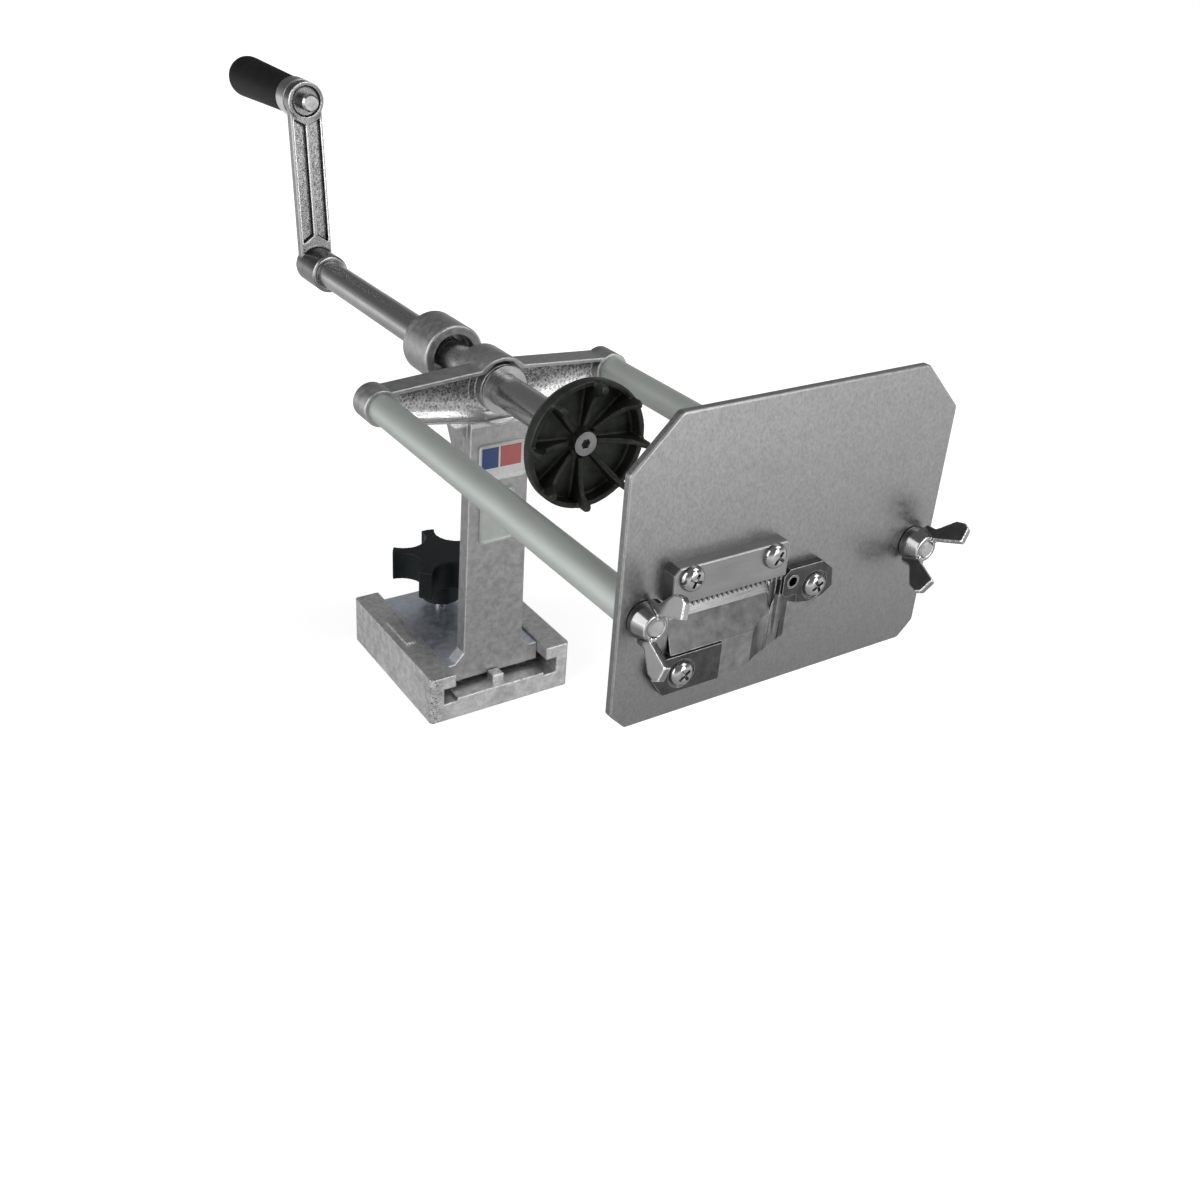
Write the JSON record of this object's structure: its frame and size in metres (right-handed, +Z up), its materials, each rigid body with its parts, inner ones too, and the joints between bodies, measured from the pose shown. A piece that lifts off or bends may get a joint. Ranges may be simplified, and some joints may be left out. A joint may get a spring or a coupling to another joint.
{
  "type": "hand cranked spiralizer",
  "caption": "Bench-mounted spiralizer: a crank shaft pushes and turns a finned cup along guide rods towards a blade plate with a comb and an outlet slot.",
  "frame": {"origin": "centre of the base casting's flat underside, where it rests on the table", "axes": "+Z up, -Y towards the blade plate where the food comes out, +Y towards the crank, +X to the right when looking along +Y"},
  "size_m": [0.1721, 0.6619, 0.3301],
  "materials": {
    "cast_metal": "as-cast aluminium, tumbled, lightly mottled",
    "face_sheet": "satin aluminium sheet with fine grain",
    "rod_metal": "clear anodised, smooth and matt",
    "shaft_steel": "ground steel",
    "blade_steel": "hardened, ground edge",
    "bush_steel": "turned",
    "cup_metal": "dark cast aluminium",
    "screw_steel": "polished stainless",
    "nut_metal": "bright zinc",
    "grip_black": "black, satin",
    "knob_black": "black, moulded"
  },
  "bodies": {
    "base": {"channel_base": "cast_metal", "stop_peg": "cast_metal"},
    "frame": {"frame_casting": "cast_metal", "left_guide_rod": "rod_metal", "right_guide_rod": "rod_metal", "face_plate": "face_sheet", "comb_bar": "face_sheet", "comb_blade": "blade_steel", "blade_holder": "face_sheet", "slicing_knife": "blade_steel", "centre_pin": "blade_steel", "comb_screws": "screw_steel", "holder_screws": "screw_steel"},
    "bushes": {"front_bush": "bush_steel", "rear_bush": "bush_steel"},
    "crank_shaft": {"drive_shaft": "shaft_steel", "gripping_cup": "cup_metal", "cup_bolt": "screw_steel", "crank_arm": "cast_metal", "crank_set_screw": "screw_steel", "grip_bolt": "screw_steel", "grip_ferrule": "shaft_steel"},
    "grip": {"crank_grip": "grip_black"},
    "left_nut": {"left_wing_nut": "nut_metal"},
    "right_nut": {"right_wing_nut": "nut_metal"},
    "clamp_knob": {"star_knob": "knob_black", "knob_stud": "screw_steel"}
  },
  "joints": [
    {"name": "foot_slide", "type": "slide", "parent": "base", "child": "frame", "axis": [0, 1, 0], "range_m": [0, 0.025]},
    {"name": "shaft_turn", "type": "hinge", "parent": "frame", "child": "bushes", "pos_m": [0, 0, 0.2055], "axis": [0, 1, 0], "continuous": true},
    {"name": "shaft_feed", "type": "slide", "parent": "bushes", "child": "crank_shaft", "axis": [0, -1, 0], "range_m": [-0.058, 0.13]},
    {"name": "grip_spin", "type": "hinge", "parent": "crank_shaft", "child": "grip", "pos_m": [0, 0.3, 0.3155], "axis": [0, 1, 0], "continuous": true},
    {"name": "left_nut_turn", "type": "hinge", "parent": "frame", "child": "left_nut", "pos_m": [-0.0735, -0.29, 0.2055], "axis": [0, -1, 0], "continuous": true},
    {"name": "right_nut_turn", "type": "hinge", "parent": "frame", "child": "right_nut", "pos_m": [0.0735, -0.29, 0.2055], "axis": [0, -1, 0], "continuous": true},
    {"name": "knob_turn", "type": "hinge", "parent": "frame", "child": "clamp_knob", "pos_m": [0, 0.0267, 0.05], "axis": [0, 0, 1], "continuous": true}
  ]
}
